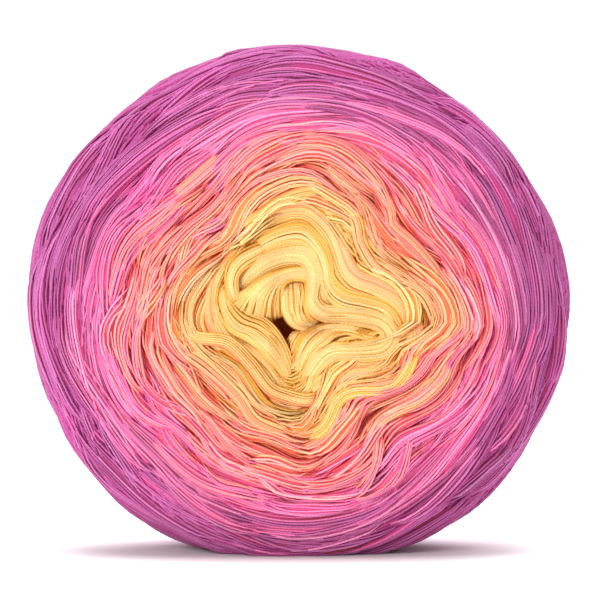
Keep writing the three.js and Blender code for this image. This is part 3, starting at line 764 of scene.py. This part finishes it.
# The big locks round the eye of the cake, each as a strip drawn in x and z from the cake's middle, in mm.
# A row holds one edge (x, z), the strip's middle (x, z), the other edge (x, z) and the lift off the lid.
# "shares" is the place of each edge in the run of dyes, "crown" how far the middle stands proud in mm.
drawnLocks = {
    "overhang": {"count": 38, "shares": (0.17, 0.09), "crown": 0.9, "rows": [
        (-18, 0.5, -12.4, -2, -6.5, -1.5, -7), (-18.5, 0, -12.7, -4, -5.8, -3.4, -2.5),
        (-17.5, 0.8, -12.5, -3.2, -5.6, -2.8, 1.6), (-16, 2, -11.8, -0.6, -5.6, -0.4, 3.2),
        (-14.3, 3.7, -10.9, 2.4, -5.6, 2.4, 3.9), (-10.1, 7.1, -8.5, 5.6, -5.1, 5.4, 4.2),
        (-6.2, 9, -4.9, 8, -3.2, 7, 4.2), (-2.4, 10.1, -1.8, 9, -1.2, 7.6, 4),
        (1.2, 10.4, 1.5, 9, 1.5, 7.4, 3.2), (3.8, 9, 3.2, 7.4, 2.2, 6, 2), (5.4, 6.4, 4.6, 5, 3.6, 4, -0.5)]},
    "finger": {"count": 22, "shares": (0.07, 0.14), "crown": 1.2, "rows": [
        (-4.6, 7.6, -1.9, 7.8, 1.5, 8, 1.4), (-4.3, 4, -1.7, 4, 2, 4, 3.2),
        (-4.2, 0.1, -1.6, 0.1, 1.8, 0.4, 3.8), (-3.7, -2.2, -1.2, -2, 2, -1.4, 3.6),
        (-2.3, -4.6, 0, -4, 2.9, -3, 3.2), (0.2, -6.2, 2, -5.2, 4, -3.9, 2.6),
        (3.4, -6.6, 4.4, -5.6, 5.4, -4.4, 1.4), (6.6, -6.4, 7.2, -5.5, 7.8, -4.6, -1.5)]},
    "slitLip": {"count": 17, "shares": (0.17, 0.25), "crown": 1.0, "rows": [
        (-16.8, 2.9, -17.6, 3.7, -18.4, 4.6, -2), (-13.4, 6.2, -14.3, 7.3, -15.1, 8.5, 1),
        (-9, 9.6, -10.1, 11.2, -11.2, 12.6, 2.6), (-4, 11.5, -4.9, 13.4, -5.4, 15.1, 3.2),
        (0.4, 11.5, 1.2, 13.4, 1.2, 15.4, 3.2), (2.4, 9, 3.7, 10.4, 5.1, 12.1, 3.3),
        (2.6, 5.1, 4, 5.7, 5.7, 6.8, 3.4), (2.1, 1.5, 3.5, 1.8, 5.1, 2.6, 3.4),
        (3.7, -1.8, 4.9, -0.7, 6.5, 0.4, 3.4), (7.3, -4, 7.9, -2.4, 9, -0.4, 3.2),
        (12.9, -4.6, 13.2, -2.6, 13.7, -0.7, 3),
        (18.2, -5.4, 18.7, -3.5, 19.5, -1.5, 2.8), (21.8, -6.6, 23.1, -5.1, 24.6, -3.7, 2.4),
        (22.8, -8.2, 25, -8.4, 27, -8.4, 2), (20.6, -9.4, 22.2, -11.2, 24, -13, 2.2),
        (14.8, -10.1, 16.2, -11.8, 18.2, -14, 2.6), (10.1, -10.1, 11.8, -11.8, 14.3, -13.7, 3),
        (6.5, -11.2, 8.5, -12.3, 10.9, -13.7, 3.3), (3.7, -13.7, 6, -14.3, 8.7, -14.8, 3.2),
        (1.8, -17.3, 3.7, -17.6, 6, -17.6, 1.8), (-0.4, -23.1, 1.2, -22.9, 2.9, -22, -2)]},
    "innerRing": {"count": 14, "shares": (0.2, 0.27), "crown": 0.9, "rows": [
        (-15.4, -0.4, -16.2, 0.7, -17.3, 1.8, -1.5), (-12.9, 4.9, -14.3, 6.2, -15.7, 7.6, 1.4),
        (-7.1, 10.7, -8.2, 12.3, -9.3, 14, 2.6), (0.4, 13.2, 0.4, 14.8, 0.4, 16.5, 2.9),
        (2.4, 11.5, 3.7, 12.3, 5.1, 13.4, 3), (3.7, 6.5, 5.4, 6.8, 7.1, 7.3, 2.9),
        (5.4, 2.4, 7.1, 2.9, 8.7, 3.7, 2.4), (8.7, -1, 10.1, 0.1, 11.5, 1.2, 0.5)]},
    "sweep": {"count": 15, "shares": (0.24, 0.3), "crown": 0.9, "rows": [
        (-13.2, 12, -13.7, 14.2, -14, 15.9, -2), (-9.2, 14.6, -9.6, 17, -10.1, 19, 1.6),
        (-4.6, 16.6, -4.3, 19.4, -4, 21.8, 2.7), (0.4, 17, 1.2, 19.8, 1.5, 22.3, 2.8),
        (4, 14.6, 5.4, 15.7, 6.8, 17, 2.8), (5.7, 10.1, 7.3, 10.9, 8.7, 12.3, 2.8),
        (6.2, 5.7, 7.9, 6.8, 9.3, 8.2, 2.8), (8.2, 1.8, 9.6, 3.5, 11.2, 5.4, 2.8),
        (12.1, -0.7, 12.9, 1.5, 14, 3.7, 2.8), (17.6, -1.8, 18.2, 0.4, 19, 2.6, 2.4),
        (22.3, -3.7, 23.7, -1.5, 25.1, 0.1, 1.8), (24.5, -7.3, 26.5, -6.2, 28.4, -4.9, 1.2),
        (24.8, -11.5, 26.7, -11.5, 28.7, -11.5, 0), (22.6, -14.3, 24, -15.4, 25.6, -16.5, -2.5)]},
    "crest": {"count": 19, "shares": (0.31, 0.43), "crown": 0.8, "rows": [
        (-17.3, 14, -18.4, 15.4, -19.5, 16.8, -1), (-12.9, 19.5, -13.7, 21.2, -14.6, 22.9, 1.4),
        (-6, 22.9, -6.5, 25.1, -7.1, 27.3, 2), (1, 24, 1.5, 26.2, 2.1, 28.4, 2.1),
        (6.2, 19.8, 7.9, 21.5, 9.6, 23.1, 2.1), (8.7, 14.6, 10.7, 15.7, 12.6, 16.8, 2.1),
        (10.7, 9, 12.6, 10.4, 14.8, 11.8, 2.1), (14, 5.1, 15.7, 7.1, 17.6, 9, 2.1),
        (19.5, 2.9, 20.9, 5.1, 22.6, 7.3, 2), (25.1, -0.4, 27, 1.5, 29, 3.5, 1.6),
        (28.4, -4.9, 30.6, -4, 32.8, -3.2, 1.2), (29, -9.8, 31.2, -10.1, 33.4, -10.4, 1),
        (27.3, -14.3, 29.5, -15.4, 31.7, -16.5, 0), (23.7, -17.6, 25.6, -19.3, 27.6, -20.9, -2.5)]},
    "eastPillow": {"count": 17, "shares": (0.07, 0.15), "crown": 1.3, "rows": [
        (-1.5, -22, -0.7, -21.5, 0.4, -20.7, -3), (-1.2, -17, 0.1, -16.5, 2.1, -15.9, 1.2),
        (-0.7, -12.9, 1.2, -12.6, 3.7, -12.6, 3), (0.7, -9.3, 2.9, -9.8, 5.7, -10.7, 3.9),
        (3.2, -6.8, 5.1, -7.9, 7.6, -9.3, 4), (7.1, -5.1, 8.2, -6.2, 9.6, -7.9, 3.7),
        (12.3, -4.9, 12.6, -6, 13.2, -7.3, 3.1), (17, -6, 17.3, -7.1, 17.6, -8.5, 2.2),
        (20.9, -7.1, 20.9, -8.2, 20.9, -9.6, 0.6), (23.1, -7.1, 23.4, -8.5, 23.7, -10.1, -2)]},
    "westPillow": {"count": 19, "shares": (0.09, 0.2), "crown": 1.3, "rows": [
        (-17.3, 9, -19, 9.6, -20.7, 10.1, -1.5), (-18.7, 4.3, -20.1, 4, -21.8, 3.7, 0.6),
        (-17.4, 0.4, -19.2, -0.8, -20.9, -1.8, 1.4), (-14.2, -2.4, -16.3, -4.6, -18.4, -6.2, 2.6),
        (-9.9, -4, -12, -6.4, -14, -8.5, 3.6), (-6.6, -6.6, -8.6, -8.8, -10.7, -10.9, 4),
        (-4.2, -9.8, -6, -11.6, -8.2, -13.7, 4), (-2.6, -13.4, -4.3, -14.9, -6, -16.2, 3),
        (-1.5, -17.3, -2.9, -18.4, -4.3, -19.5, 0.8), (-1.2, -22, -1.8, -22.6, -2.4, -23.1, -3)]},
    "bowl": {"count": 21, "shares": (0.25, 0.42), "crown": 0.8, "rows": [
        (-10.1, 17.9, -11.2, 19.5, -12.3, 21.2, -1.5), (-15.9, 13.7, -17.3, 15.1, -19, 16.8, 1.2),
        (-20.1, 9, -21.8, 9.8, -23.4, 10.7, 2), (-22.3, 2.9, -23.7, 2.9, -25.1, 2.9, 1.8),
        (-21.2, -2.9, -23.1, -3.7, -25.1, -4.6, 1.6), (-17.6, -7.9, -19.5, -9.3, -21.5, -10.7, 1.8),
        (-12.9, -10.7, -14.6, -12.6, -16.2, -14.6, 2.2), (-8.7, -14, -10.4, -16.2, -12.3, -18.2, 2.2),
        (-5.4, -18.2, -7.3, -20.1, -9.3, -22.3, 1.8), (-2.9, -22.6, -4.3, -24.8, -5.7, -27, 1),
        (-0.7, -23.7, -0.4, -25.9, -0.1, -28.1, 0.6), (2.1, -21.8, 3.5, -24.3, 4.9, -26.7, 1),
        (6.5, -18.2, 8.2, -20.4, 9.8, -22.6, 1.8), (11.5, -15.1, 12.9, -17, 14.3, -19.3, 2),
        (17.6, -14, 18.7, -15.9, 20.1, -18.2, 1.6), (23.4, -12.6, 25.1, -14.3, 27, -15.9, 0.8),
        (27.6, -8.7, 29.2, -9.6, 31.2, -10.4, -0.8)]},
    "hangingLock": {"count": 9, "shares": (0.27, 0.33), "crown": 1.0, "rows": [
        (-3.5, 16.8, -3.7, 18.2, -4, 19.5, -1.5), (-9, 14, -9.8, 15.4, -10.7, 16.8, 1.8),
        (-13.4, 11.5, -14.6, 12.9, -15.7, 14.3, 3), (-16.2, 9, -17.3, 10.1, -18.7, 11.2, 3.5),
        (-16.8, 6, -18.2, 6.5, -19.5, 7.1, 3.6), (-16.2, 3.2, -17.3, 2.9, -18.7, 2.6, 2.4),
        (-14.8, 1, -15.7, 0.1, -16.8, -0.7, -1.5)]},
}
# Slim locks that wave over the rest, as the line of each one's middle in x and z, and its edges' shares
slimLocks = {
    "knee": ((0.3, 0.4), [(-35, -2), (-28.5, -8), (-19.5, -9.5), (-13, -15.5), (-8, -22), (-3, -24.5),
                          (3, -25.5), (8.5, -23.5)]),
    "lowSweep": ((0.36, 0.46), [(-35, -10.5), (-28.5, -13.5), (-22, -18.5), (-16, -24.5), (-12, -30.5),
                                (-6, -33.5), (0.5, -35.5)]),
    "brow": ((0.28, 0.38), [(8.5, 30.5), (3, 31.5), (-4.5, 29), (-9.5, 25.5), (-14.5, 22.5), (-17, 19)]),
    "eastFall": ((0.34, 0.42), [(11, 30), (15.5, 23.5), (17, 17), (22, 10), (32, 5), (36, 0), (38, -8)]),
    "coralFall": ((0.46, 0.52), [(20.5, 33.5), (24.5, 26.5), (25.5, 22), (31, 17), (37, 10), (43.5, 0)]),
    "goldWave": ((0.3, 0.36), [(0.5, -36), (5.5, -34.5), (8.5, -31), (11, -25.5), (15.5, -23), (25.5, -22),
                               (30.5, -15.5), (32, -9.5)]),
    "coralWave": ((0.44, 0.52), [(17, -38.5), (21, -32), (25.5, -28.5), (33.5, -24.5), (39.5, -18.5),
                                 (42, -10.5)]),
    "westFall": ((0.52, 0.62), [(-37, 27.5), (-30.5, 32.5), (-23, 39), (-19.5, 43)]),
}
slim = {"width": 2.6, "endWidth": 1.6, "count": 6, "crown": 0.9, "lift": 3.0, "endLift": -1.0}

drawn = {
    "step": 1.3, "leastPoints": 8, "finePoints": 12,
    "scatter": 0.25, "wander": 0.05, "edge": 1.05,  # in half widths of the lock
    "swell": 1.3,  # how far its edges are drawn out past the rows, to tuck under the next lock
    "loose": 0.04, "settle": 1.4, "radius": (0.42, 0.52),  # mm
    "low": 0.62, "paintedLightOnHump": 0.6, "paintedLightByLift": 0.06,
    "paintedShadeAtEnds": 0.4, "endsBelow": 1, "endsFade": 3,  # painted shade at the ends, where the lift falls below 1 mm, over 3 mm
    "paintedShadeSpread": 1.5, "mixing": 0.012,  # the spread of painted shade against that of other locks, and a share
}


# A smooth curve through the rows, one row for each whole number of t
def through(rows, t):
    rows = np.vstack([2 * rows[0] - rows[1], rows, 2 * rows[-1] - rows[-2]])
    i = np.minimum(t.astype(int), len(rows) - 4)
    f = (t - i)[:, None]
    a, b, c, d = rows[i], rows[i + 1], rows[i + 2], rows[i + 3]
    return b + 0.5 * f * (c - a + f * (2 * a - 5 * b + 4 * c - d + f * (3 * (b - c) + d - a)))


def rowsOfSlim(line):
    points = np.array(line, dtype=float)
    along = np.gradient(points, axis=0)
    along /= np.linalg.norm(along, axis=1, keepdims=True)
    half = np.full((len(points), 1), slim["width"] / 2)
    lift = np.full(len(points), slim["lift"])
    half[[0, -1]] = slim["endWidth"] / 2
    lift[[0, -1]] = slim["endLift"]
    aside = np.stack([along[:, 1], -along[:, 0]], axis=1) * half
    return np.column_stack([points - aside, points, points + aside, lift])


def drawLock(winding, pads, lock):
    rows = np.array(lock["rows"], dtype=float)
    fine = through(rows, np.linspace(0, len(rows) - 1, drawn["finePoints"] * len(rows)))
    length = np.linalg.norm(np.diff(fine[:, 2:4], axis=0), axis=1).sum()
    t = np.linspace(0, 1, max(drawn["leastPoints"], int(length / drawn["step"])))
    way = through(rows, t * (len(rows) - 1))

    def place(v, lower):
        w = v * drawn["swell"]
        edgeA, edgeB, middleShare = (w * w - w) / 2, (w * w + w) / 2, 1 - w * w
        x = way[:, 0] * edgeA + way[:, 2] * middleShare + way[:, 4] * edgeB
        z = way[:, 1] * edgeA + way[:, 3] * middleShare + way[:, 5] * edgeB
        hump = np.sqrt(np.clip(1 - v * v, 0, 1))
        y = lidAt(x, z) - way[:, 6] + drawn["settle"] - lock["crown"] * hump + lower
        return np.stack([x, y, z + cake["centreHeight"]], axis=1), hump

    def shareAt(v):
        return lock["shares"][0] + (lock["shares"][1] - lock["shares"][0]) * (v + 1) / 2

    drops = [padding["drop"]] * len(padding["across"]) + [padding["drop"] + padding["depth"]]
    edges = [place(np.full(len(t), v), drop)[0] for v, drop in zip((*padding["across"], 0.0), drops)]
    across, along = way[:, 4:6] - way[:, 0:2], np.gradient(way[:, 2:4], axis=0)
    if np.sum(across[:, 0] * along[:, 1] - across[:, 1] * along[:, 0]) < 0:
        edges = edges[-2::-1] + edges[-1:]  # so that the packing's faces look outwards
    pads.add(np.stack(edges, axis=1), meanDyeWithShade(np.full((len(t), 1), shareAt(0.0)), padding["low"]))
    first = rng.integers(4)
    facing = np.tile([0.0, -1.0, 0.0], (len(t), 1))
    for j in range(lock["count"]):
        ownPlace = 2 * (j + 0.5) / lock["count"] - 1 + rng.normal() * drawn["scatter"] / lock["count"]
        v = np.clip(ownPlace + wander(t, drawn["wander"], 4), -drawn["edge"], drawn["edge"])
        points, hump = place(v, wander(t, drawn["loose"], 5) + rng.normal() * drawn["loose"])
        # painted light on the hump and on high rows, painted shade where the lock dives
        low = drawn["low"] - drawn["paintedLightOnHump"] * hump - drawn["paintedLightByLift"] * way[:, 6]
        low = low + drawn["paintedShadeAtEnds"] * smooth((drawn["endsBelow"] - way[:, 6]) / drawn["endsFade"])
        low = np.clip(low + abs(rng.normal()) * dyeAndShade["paintedShadeSpread"] * drawn["paintedShadeSpread"], 0, 1)
        colour = dyeWithShadeAt(shareAt(v) + rng.normal() * drawn["mixing"], low, int(first + j))
        colour = colour * (1 + rng.normal() * dyeAndShade["unevenness"])
        addStrand(winding, points, facing, colour, rng.uniform(*drawn["radius"]))


def windCentre():
    winding, pads = strandWinding("locks_front_centre"), padWinding("packing_front_centre", 5.0)
    for lock in drawnLocks.values():
        drawLock(winding, pads, lock)
    for shares, line in slimLocks.values():
        drawLock(winding, pads, {"count": slim["count"], "shares": shares, "crown": slim["crown"],
                                 "rows": rowsOfSlim(line)})
    buildWinding(pads, packedLook)
    buildWinding(winding, yarnLook)


windCentre()

# The faces' other windings. "from" and "to" are levels, "lean" is how far a lock crosses the rings over
# its length, "wave" how it sways, "spacing" and "overlap" how close the locks lie, and lengths are in mm.
faceTurns = {
    "core": {"from": 0.05, "to": 0.36, "pitch": 0.66, "step": 2.3,
             "lock": {"layers": 1, "width": 4.0, "length": (14, 30), "pitch": 0.62, "spacing": 0.8,
                      "overlap": 0.7, "lean": 1.2, "leanSpread": 1.2, "height": (-0.8, 0.2), "crown": 0.9,
                      "wave": 0.5, "loose": 0.12, "step": 2.0}},
    "middle": {"from": 0.34, "to": 0.72, "pitch": 0.6, "step": 2.6,
               "lock": {"layers": 2, "width": 4.0, "length": (22, 55), "pitch": 0.6, "spacing": 0.78,
                        "overlap": 0.72, "lean": 3.5, "leanSpread": 2.2, "height": (-0.4, 1.6), "crown": 1.4,
                        "wave": 0.9, "loose": 0.12, "step": 2.4}},
    "outer": {"from": 0.7, "to": 1.02, "pitch": 0.58, "step": 3.4,
              "lock": {"layers": 2, "width": 5.0, "length": (35, 80), "pitch": 0.58, "spacing": 0.8,
                       "overlap": 0.75, "lean": 3.6, "leanSpread": 2.4, "height": (-0.4, 0.7), "crown": 0.8,
                       "wave": 0.6, "loose": 0.08, "step": 3.2}},
    "back": {"from": 0.05, "to": 1.0, "pitch": 0.66, "step": 3.4,
             "lock": {"layers": 1, "width": 5.0, "length": (25, 60), "pitch": 0.66, "spacing": 0.75,
                      "overlap": 0.72, "lean": 2.5, "leanSpread": 1.6, "height": (-0.4, 0.5), "crown": 0.8,
                      "wave": 0.4, "loose": 0.08, "step": 3.4}},
}


# Under the locks the base turns run round and round, a little past a full turn each, in painted shade
base = {"turn": 362.0, "leastPoints": 50, "leastRadius": 5.0, "wander": 0.003, "height": -0.25,
        "rising": 0.08, "low": 0.7}


def windFace(place, settings, look, isBack=False):
    winding = strandWinding("turns_" + place)
    pads = padWinding("packing_" + place, settings["lock"]["width"])
    level = settings["from"]
    number = 0
    while level < settings["to"]:
        length = 2 * math.pi * max(base["leastRadius"], level * halfWidth)
        t = np.linspace(0, 1, max(base["leastPoints"], int(length / settings["step"])))
        angle = rng.uniform(0, 360) + base["turn"] * t
        own = level + wander(t, base["wander"], 4)
        own = own + ripple(own, angle)
        up = base["height"] + wander(t, base["rising"], 6)
        colour = dyeWithShadeAt(shareOf(own), base["low"], number) * (1 + rng.normal() * dyeAndShade["unevenness"])
        own = 2 * rimTurns - own if isBack else own
        layStrand(winding, own, angle, up, colour, strand["radius"])
        level += settings["pitch"] / halfWidth
        number += 1
    layRings(winding, pads, settings, isBack)
    buildWinding(pads, packedLook)
    buildWinding(winding, look)


for part, look in (("core", yarnLook), ("middle", yarnLook), ("outer", rimLook)):
    windFace("front_" + part, faceTurns[part], look)
windFace("back", faceTurns["back"], yarnLook, isBack=True)

# The rim's bands lie in two sets that cross. Each band runs from one shoulder to the other over "run"
# degrees. "turnAt" is the level where it turns back, and the rest is in mm.
rim = {
    "bands": 19, "count": 13, "pitch": 0.66, "turnAt": (0.86, 0.98), "run": 280, "step": 4.4,
    "unevenStart": 0.2,  # in bands
    "straightness": 0.5,  # 1 would run straight across, 0 like a wave
    "slope": 0.06,  # how soon a band rises and dives, as a share of its run
    "height": (-0.75, -0.45), "hidden": -1.1, "crown": 0.3, "sway": 1.5, "loose": 0.08,
    "scatter": 0.3, "strandSway": 0.15, "thick": (0.95, 1.12),
    # "low" and its spread are painted shade
    "share": 0.95, "low": 0.5, "paintedShadeSpread": 2,
}


def windRim(name, way):
    winding = strandWinding(name)
    for number in range(rim["bands"]):
        nearEnd = rng.uniform(*rim["turnAt"])
        farEnd = 2 * rimTurns - rng.uniform(*rim["turnAt"])
        t = np.linspace(0, 1, int(math.radians(rim["run"]) * halfWidth / rim["step"]))
        uneven = rng.uniform(-rim["unevenStart"], rim["unevenStart"])
        angle = (number + uneven) * 360 / rim["bands"] + rim["run"] * t
        swing = 0.5 - 0.5 * np.cos(np.pi * t)
        swing = swing if way > 0 else 1 - swing
        straight = rim["straightness"] * (t if way > 0 else 1 - t)
        centre = nearEnd + (farEnd - nearEnd) * ((1 - rim["straightness"]) * swing + straight)
        centre = centre + wander(t, rim["sway"] / halfWidth, 3)
        rise = smooth(t / rim["slope"]) * smooth((1 - t) / rim["slope"])
        height = rng.uniform(*rim["height"])
        tint = 1 + rng.normal() * dyeAndShade["unevenness"]
        for j in range(rim["count"]):
            v = 2 * (j + 0.5) / rim["count"] - 1 + rng.normal() * rim["scatter"] / rim["count"]
            aside = v * rim["count"] * rim["pitch"] / 2 + wander(t, rim["strandSway"], 4)
            hump = math.sqrt(max(0.0, 1 - v * v))
            top = height + rim["crown"] * hump + rng.normal() * rim["loose"]
            up = rim["hidden"] + (top - rim["hidden"]) * rise
            # painted light on a band's crown, painted shade at its edges and where it dives
            low = rim["low"] - rim["low"] * hump * rise
            low = np.clip(low + abs(rng.normal()) * dyeAndShade["paintedShadeSpread"] * rim["paintedShadeSpread"], 0, 1)
            colour = dyeWithShadeAt(np.full(len(t), rim["share"]), low, j) * tint
            colour = colour * (1 + rng.normal() * dyeAndShade["unevenness"])
            thick = strand["radius"] * rng.uniform(*rim["thick"])
            layStrand(winding, centre + aside / halfWidth, angle, up, colour, thick)
    return winding


buildWinding(windRim("turns_rim_rising", 1), rimLook)
buildWinding(windRim("turns_rim_falling", -1), rimLook)

# White paper under the cake, bright enough to lose its far edge against the white room
# Its glow is painted light: off close round the cake, where the lamps' shadow shows, and full further off
paper = {"colour": "#F4F4F4", "roughness": 0.9, "glow": 0.62, "glowFrom": 0.018, "glowTo": 0.045,
         "shadeWidth": 0.4, "shadeY": -0.02, "halfSize": 9.0}


def makeFloor():
    material, tree, shader = startMaterial("white paper", {
        "Base Color": (*linearFrom(paper["colour"]), 1), "Roughness": paper["roughness"],
        "Emission Color": (1, 1, 1, 1)})
    place = addNode(tree, "ShaderNodeTexCoord")
    narrowed = addNode(tree, "ShaderNodeMapping", inputs={
        "Vector": place.outputs["Object"], "Scale": (paper["shadeWidth"], 1.0, 1.0),
        "Location": (0.0, -paper["shadeY"], 0.0)})
    away = addNode(tree, "ShaderNodeVectorMath", {"operation": "LENGTH"}, {0: narrowed.outputs[0]})
    glow = addNode(tree, "ShaderNodeMapRange", {"interpolation_type": "SMOOTHSTEP"}, {
        "Value": away.outputs["Value"], "From Min": paper["glowFrom"], "From Max": paper["glowTo"],
        "To Min": 0.0, "To Max": paper["glow"]})
    tree.links.new(glow.outputs[0], shader.inputs["Emission Strength"])
    half = paper["halfSize"]
    corners = [(-half, -half, 0), (half, -half, 0), (half, half, 0), (-half, half, 0)]
    mesh = bpy.data.meshes.new("floor")
    mesh.from_pydata(corners, [], [(0, 1, 2, 3)])
    mesh.materials.append(material)
    floor = bpy.data.objects.new("floor", mesh)
    bpy.context.scene.collection.objects.link(floor)


lampAim = Vector((0, 0, 0.07))
lamps = {
    "key": {"place": (-0.6, -1.0, 0.42), "size": 0.5, "power": 8.0},
    "back": {"place": (0.1, 1.0, 0.5), "size": 0.6, "power": 5.0},
    "top": {"place": (0, -0.1, 0.9), "size": 0.7, "power": 6.5},
}


def addLamp(name, settings):
    data = bpy.data.lights.new(name, "AREA")
    data.shape = "DISK"
    data.size = settings["size"]
    data.energy = settings["power"]
    lamp = bpy.data.objects.new(name, data)
    lamp.location = settings["place"]
    lamp.rotation_euler = (lampAim - lamp.location).to_track_quat("-Z", "Y").to_euler()
    bpy.context.scene.collection.objects.link(lamp)


makeFloor()
for name, settings in lamps.items():
    addLamp(name, settings)
room = {"glow": 0.58, "seen": 1.05}
world = bpy.data.worlds.new("white room")
world.use_nodes = True
background = world.node_tree.nodes["Background"]
background.inputs["Color"].default_value = (1, 1, 1, 1)
rays = addNode(world.node_tree, "ShaderNodeLightPath")
seen = addNode(world.node_tree, "ShaderNodeMapRange", inputs={
    "Value": rays.outputs["Is Camera Ray"], "To Min": room["glow"], "To Max": room["seen"]})
world.node_tree.links.new(seen.outputs[0], background.inputs["Strength"])
bpy.context.scene.world = world
bpy.context.scene.view_settings.view_transform = "Standard"

# The camera stands 3 degrees above level. "pixelMm" is one pixel's size at the cake's middle.
shot = {"pixelMm": 0.2812, "elevation": 3.0, "distance": 1.15, "sensor": 36, "sidePx": 600, "clipEnd": 20,
        "middlePx": (300.0, 300.0), "cakePx": (298.5, 299.3)}
camera = bpy.data.objects.new("camera", bpy.data.cameras.new("camera"))
bpy.context.scene.collection.objects.link(camera)
elevation = math.radians(shot["elevation"])
target = Vector(((shot["middlePx"][0] - shot["cakePx"][0]) * shot["pixelMm"] * mm, 0,
                 (cake["centreHeight"] + (shot["cakePx"][1] - shot["middlePx"][1]) * shot["pixelMm"]) * mm))
camera.location = target + shot["distance"] * Vector((0, -math.cos(elevation), math.sin(elevation)))
camera.rotation_euler = (target - camera.location).to_track_quat("-Z", "Y").to_euler()
camera.data.sensor_width = shot["sensor"]
camera.data.lens = shot["sensor"] * shot["distance"] / (shot["sidePx"] * shot["pixelMm"] * mm)
camera.data.clip_end = shot["clipEnd"]
bpy.context.scene.camera = camera
